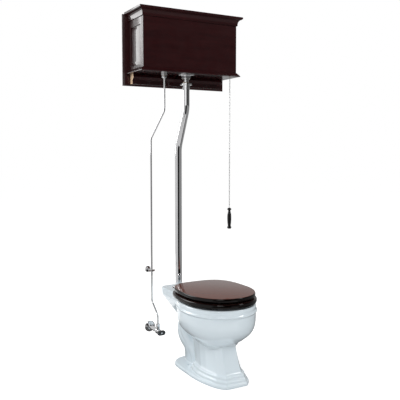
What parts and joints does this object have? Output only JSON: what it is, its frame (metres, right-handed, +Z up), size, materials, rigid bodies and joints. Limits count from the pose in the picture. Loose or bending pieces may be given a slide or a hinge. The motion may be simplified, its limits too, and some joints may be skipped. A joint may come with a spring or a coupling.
{
  "type": "high tank pull chain toilet",
  "caption": "High tank toilet: wooden cistern on a wall board, chrome flush and supply pipes, china bowl with wooden seat and lid, and a pull chain that lifts the flush stopper.",
  "frame": {"origin": "centre of the floor outlet, on the floor", "axes": "+Z up, +Y towards the wall behind, +X to the right seen from the front"},
  "size_m": [0.624, 0.689, 1.878],
  "materials": {
    "vitreous_china": "gloss",
    "cherry_wood": "gloss lacquer",
    "chrome": "polished",
    "brass": "satin",
    "black_rubber": "matte",
    "white_rubber": "matte",
    "liner_plastic": "matte",
    "float_plastic": "satin",
    "white_plastic": "satin",
    "black_handle": "gloss",
    "black_wood": "satin lacquer"
  },
  "bodies": {
    "fixture": {"bowl": "vitreous_china", "bowl_pedestal": "vitreous_china", "inlet_gasket": "white_rubber", "hinge_posts": "chrome", "hinge_rod": "chrome", "hinge_nuts": "white_plastic", "flush_pipe": "chrome", "flush_pipe_collar": "chrome", "tank_flange": "chrome", "tank_slip_nut": "chrome", "supply_pipe": "chrome", "supply_top_nut": "chrome", "supply_clamp": "chrome", "stop_valve_body": "chrome", "stop_valve_outlet_nut": "chrome", "stop_valve_packing_nut": "chrome", "escutcheon": "chrome", "wall_board": "cherry_wood", "ledge": "cherry_wood", "tank_front": "cherry_wood", "tank_left_side": "cherry_wood", "tank_right_side": "cherry_wood", "tank_back": "cherry_wood", "tank_bottom": "cherry_wood", "base_front": "cherry_wood", "base_left": "cherry_wood", "base_right": "cherry_wood", "crown_front": "cherry_wood", "crown_left": "cherry_wood", "crown_right": "cherry_wood", "tank_liner": "liner_plastic", "flush_valve_seat": "brass", "overflow_tube": "brass", "lift_rod_guide": "brass", "float_valve_body": "brass", "float_valve_locknut": "chrome", "refill_tube": "white_plastic", "lever_bracket": "brass", "pivot_pin": "brass", "chain_bush": "brass"},
    "seat_ring": {"seat_ring": "cherry_wood", "seat_ring_bumpers": "black_rubber", "seat_ring_leaves": "chrome"},
    "seat_lid": {"seat_lid": "cherry_wood", "seat_lid_bumpers": "black_rubber", "seat_lid_leaves": "chrome"},
    "tank_top": {"tank_top": "cherry_wood"},
    "flush_lever": {"flush_lever": "brass"},
    "pull_chain": {"chain_hook": "brass", "pull_chain": "chrome"},
    "pull_handle": {"pull_handle": "black_wood", "handle_eye": "chrome"},
    "lift_rod": {"lift_rod": "brass", "stopper": "black_rubber"},
    "float": {"float_rod": "brass", "float_ball": "float_plastic"},
    "plunger": {"float_valve_plunger": "brass"},
    "stop_valve_spindle": {"stop_valve_stem": "chrome", "stop_valve_handle": "black_handle", "stop_valve_screw": "chrome"}
  },
  "joints": [
    {"name": "seat_ring_hinge", "type": "hinge", "parent": "fixture", "child": "seat_ring", "pos_m": [0, 0.106, 0.416], "axis": [-1, 0, 0], "range_deg": [0, 95]},
    {"name": "seat_lid_hinge", "type": "hinge", "parent": "seat_ring", "child": "seat_lid", "pos_m": [0, 0.106, 0.416], "axis": [1, 0, 0], "range_deg": [-98, 0]},
    {"name": "tank_top_lift", "type": "slide", "parent": "fixture", "child": "tank_top", "axis": [0, 0, 1], "range_m": [0, 0.12]},
    {"name": "flush_lever_pivot", "type": "hinge", "parent": "fixture", "child": "flush_lever", "pos_m": [0.145, 0.15, 1.783], "axis": [0, 1, 0], "range_deg": [0, 15]},
    {"name": "chain_pull", "type": "slide", "parent": "fixture", "child": "pull_chain", "axis": [0, 0, -1], "range_m": [0, 0.0289]},
    {"name": "handle_swing", "type": "hinge", "parent": "pull_chain", "child": "pull_handle", "pos_m": [0.255, 0.126, 0.84606], "axis": [1, 0, 0], "range_deg": [-25, 25]},
    {"name": "stopper_lift", "type": "slide", "parent": "fixture", "child": "lift_rod", "axis": [0, 0, 1], "range_m": [0, 0.0381]},
    {"name": "float_pivot", "type": "hinge", "parent": "fixture", "child": "float", "pos_m": [-0.108, 0.165, 1.7156], "axis": [0, -1, 0], "range_deg": [0, 14]},
    {"name": "plunger_slide", "type": "slide", "parent": "fixture", "child": "plunger", "axis": [0, 0, -1], "range_m": [0, 0.0026]},
    {"name": "stop_valve_turn", "type": "hinge", "parent": "fixture", "child": "stop_valve_spindle", "pos_m": [-0.16, 0.19, 0.16], "axis": [0, -1, 0], "range_deg": [0, 810]}
  ],
  "couplings": [
    {"joint": "chain_pull", "follows": "flush_lever_pivot", "m_per_rad": 0.11},
    {"joint": "stopper_lift", "follows": "flush_lever_pivot", "m_per_rad": 0.145},
    {"joint": "plunger_slide", "follows": "float_pivot", "m_per_rad": 0.01}
  ]
}
